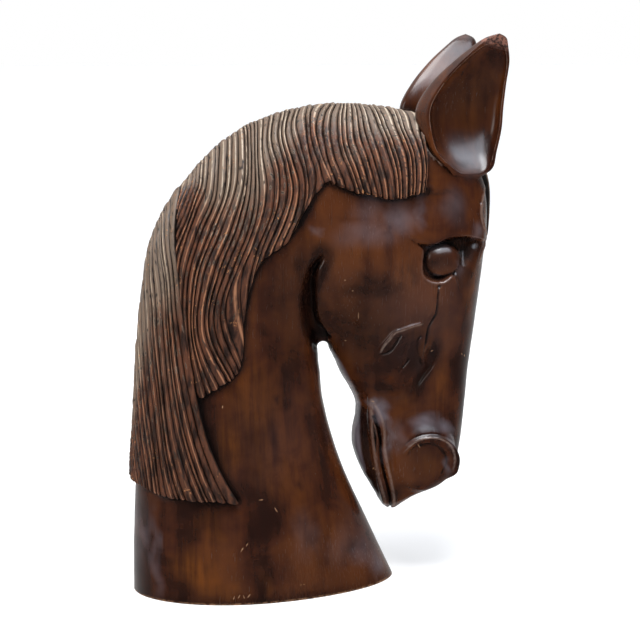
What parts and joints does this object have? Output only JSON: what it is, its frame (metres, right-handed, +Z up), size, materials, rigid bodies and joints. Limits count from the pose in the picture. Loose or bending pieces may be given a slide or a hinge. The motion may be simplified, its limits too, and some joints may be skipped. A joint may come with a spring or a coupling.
{
  "type": "carved wooden horse head",
  "caption": "Bust of a horse carved from one block of wood, neck cut flat below, with a long combed mane, upright cupped ears and a forelock.",
  "frame": {"origin": "centre of the flat underside of the neck, in the middle plane of the horse", "axes": "+Z up, +X the way the horse looks, +Y to the horse's left"},
  "size_m": [0.3092, 0.1198, 0.457],
  "materials": {
    "stained_wood": "polished"
  },
  "bodies": {
    "root": {"horse_head": "stained_wood"}
  },
  "joints": []
}
